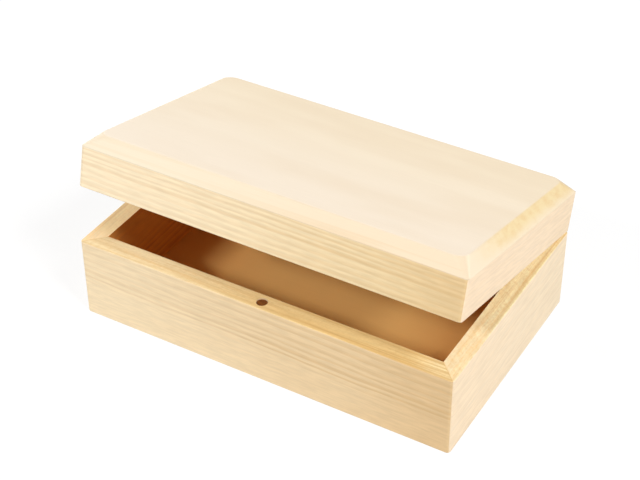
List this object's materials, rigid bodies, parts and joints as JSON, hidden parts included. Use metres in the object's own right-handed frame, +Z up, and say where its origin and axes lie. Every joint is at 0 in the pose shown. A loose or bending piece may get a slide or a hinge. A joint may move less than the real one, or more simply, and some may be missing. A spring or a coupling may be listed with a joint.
{
  "type": "wooden box",
  "caption": "Small rectangular softwood box for papers and keepsakes: mitred base, bevelled lid on back hinges, magnetic catch.",
  "frame": {"origin": "middle of the base's flat underside", "axes": "+X along the front to the right, +Y to the hinged back, +Z up; the lid stands 13.8 degrees open at rest"},
  "size_m": [0.22, 0.1425, 0.1079],
  "materials": {
    "pine_board": "bare sanded softwood, no varnish",
    "pine_panel": "bare sanded softwood, no varnish",
    "plywood": "bare plywood",
    "hinge_brass": "plated, lightly worn",
    "screw_brass": "plated",
    "magnet": "dark ferrite under amber glue"
  },
  "bodies": {
    "base": {"base_front_wall": "pine_board", "base_back_wall": "pine_board", "base_left_wall": "pine_board", "base_right_wall": "pine_board", "bottom_panel": "plywood", "base_magnet": "magnet", "left_hinge_base_leaf": "hinge_brass", "right_hinge_base_leaf": "hinge_brass", "left_hinge_pin": "hinge_brass", "right_hinge_pin": "hinge_brass", "base_hinge_screws": "screw_brass"},
    "lid": {"lid_front_rail": "pine_board", "lid_back_rail": "pine_board", "lid_left_rail": "pine_board", "lid_right_rail": "pine_board", "lid_top_panel": "pine_panel", "lid_magnet": "magnet", "left_hinge_lid_leaf": "hinge_brass", "right_hinge_lid_leaf": "hinge_brass", "lid_hinge_screws": "screw_brass"}
  },
  "joints": [
    {"name": "lid_hinge", "type": "hinge", "parent": "base", "child": "lid", "pos_m": [0, 0.07055, 0.0477], "axis": [-1, 0, 0], "range_deg": [-13.8, 166.2]}
  ]
}
